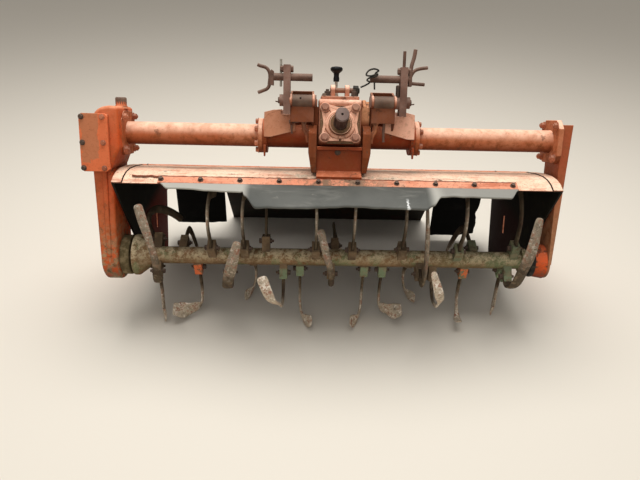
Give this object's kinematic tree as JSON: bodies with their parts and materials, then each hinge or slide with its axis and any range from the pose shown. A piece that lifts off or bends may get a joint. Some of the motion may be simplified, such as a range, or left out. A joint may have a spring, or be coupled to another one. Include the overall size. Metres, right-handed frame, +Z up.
{
  "type": "rotavator",
  "caption": "Tractor-mounted rotary tiller with a splined input shaft, chain-driven tine rotor, curved hood, hinged rear board and two hitch pins, leaning back as parked.",
  "frame": {"origin": "centre of the overall box on the floor", "axes": "+X along the rotor from the chain case to the plain side plate, +Y to the rear, away from the tractor, +Z up; the hitch and input shaft face -Y"},
  "size_m": [1.294, 0.8744, 0.7808],
  "materials": {
    "paint_red": "worn",
    "paint_faded": "worn, dusty",
    "paint_rust": "rusty",
    "steel_rust": "rusty, soiled",
    "holder_green": "worn",
    "steel_bright": "dull",
    "rubber": "matte",
    "knob": "matte"
  },
  "bodies": {
    "machine": {"axle_housing_left": "paint_red", "axle_housing_right": "paint_red", "beam_tube_left": "paint_red", "beam_tube_right": "paint_red", "bearing_cap": "paint_red", "case_cover": "paint_red", "chain_case": "paint_red", "cheek_left": "paint_red", "cheek_right": "paint_red", "dipstick": "knob", "filler_plug": "paint_red", "front_flap": "rubber", "gear_housing": "paint_red", "hinge_rod": "steel_bright", "hitch_bracket_left": "paint_red", "hitch_bracket_right": "paint_red", "hood_end_left": "paint_red", "hood_end_right": "paint_red", "hood_sheet": "paint_faded", "lip_strip": "paint_faded", "pedestal_plate": "paint_red", "rail_left": "paint_faded", "rail_right": "paint_faded", "rear_flap_left": "rubber", "rear_flap_right": "rubber", "rotor_bearing": "paint_red", "rotor_boss": "paint_red", "shield_left": "paint_red", "shield_right": "paint_red", "side_plate": "paint_red", "top_link_lugs": "paint_red", "top_link_pin": "steel_bright"},
    "rotor": {"hook_tines": "steel_rust", "rotor_tube": "steel_rust", "tine_holders": "holder_green", "tines_left_hand": "steel_rust", "tines_right_hand": "steel_rust"},
    "input": {"input_shaft": "steel_bright"},
    "board": {"rear_board": "paint_red"},
    "arm_left": {"drop_pin_left": "paint_rust", "hitch_arm_left": "paint_rust", "hitch_pin_left": "paint_rust", "pin_fork_left": "paint_rust"},
    "arm_right": {"hitch_arm_right": "paint_rust", "hitch_pin_right": "paint_rust", "pin_handle_right": "paint_rust", "spring_clip_right": "paint_rust", "stop_pin_right": "paint_rust"}
  },
  "joints": [
    {"name": "rotor_spin", "type": "hinge", "parent": "machine", "child": "rotor", "pos_m": [0.021, -0.22283, 0.22278], "axis": [1, 0, 0], "continuous": true},
    {"name": "input_spin", "type": "hinge", "parent": "machine", "child": "input", "pos_m": [0.021, -0.16875, 0.59635], "axis": [0, -0.8339, 0.5519], "continuous": true},
    {"name": "board_hinge", "type": "hinge", "parent": "machine", "child": "board", "pos_m": [0.021, 0.25849, 0.222], "axis": [1, 0, 0], "range_deg": [-37, 38]},
    {"name": "arm_left_hinge", "type": "hinge", "parent": "machine", "child": "arm_left", "pos_m": [-0.118, -0.1572, 0.65778], "axis": [1, 0, 0], "range_deg": [-30, 50]},
    {"name": "arm_right_hinge", "type": "hinge", "parent": "machine", "child": "arm_right", "pos_m": [0.181, -0.1572, 0.65778], "axis": [1, 0, 0], "range_deg": [-30, 50]}
  ],
  "couplings": [
    {"joint": "input_spin", "follows": "rotor_spin", "ratio": 2.7}
  ]
}
